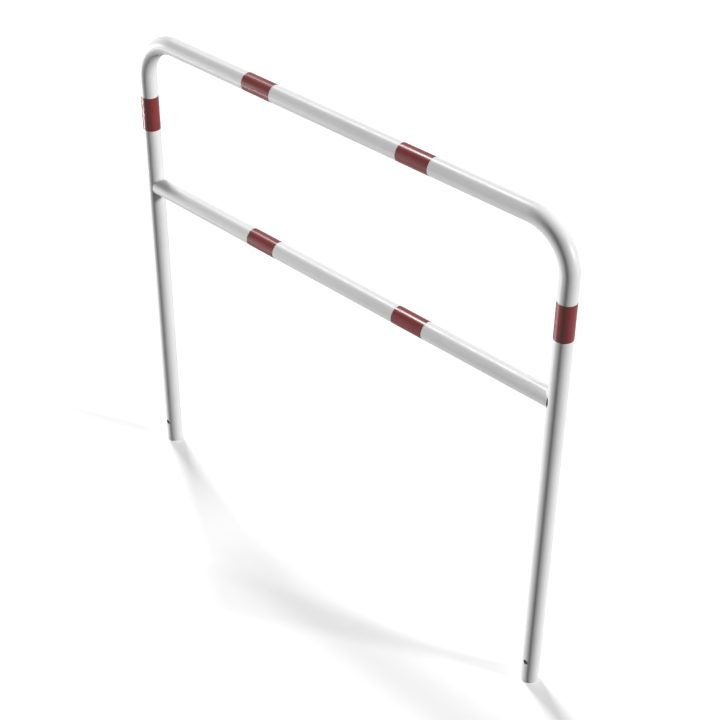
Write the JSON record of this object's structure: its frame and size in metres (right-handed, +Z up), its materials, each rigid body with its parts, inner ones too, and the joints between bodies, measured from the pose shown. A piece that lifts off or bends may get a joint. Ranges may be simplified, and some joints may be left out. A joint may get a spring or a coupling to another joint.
{
  "type": "barrier hoop",
  "caption": "Bent steel tube hoop with a welded crossbar, coated white with wrapped red reflective bands, set in the ground by its legs to guard a path or kerb.",
  "frame": {"origin": "midway between the two leg ends, at their level", "axes": "+Z up along the legs, +X along the rails to the right, front towards -Y"},
  "size_m": [1.501, 0.0496, 1.4005],
  "materials": {
    "white_coat": "white powder coat on steel tube, semi-gloss",
    "red_film": "red reflective film, gloss"
  },
  "bodies": {
    "root": {"hoop_tube": "white_coat", "crossbar_tube": "white_coat", "left_upper_weld": "white_coat", "left_lower_weld": "white_coat", "right_upper_weld": "white_coat", "right_lower_weld": "white_coat", "left_leg_band": "red_film", "right_leg_band": "red_film", "top_rail_left_band": "red_film", "top_rail_right_band": "red_film", "crossbar_left_band": "red_film", "crossbar_right_band": "red_film"}
  },
  "joints": []
}
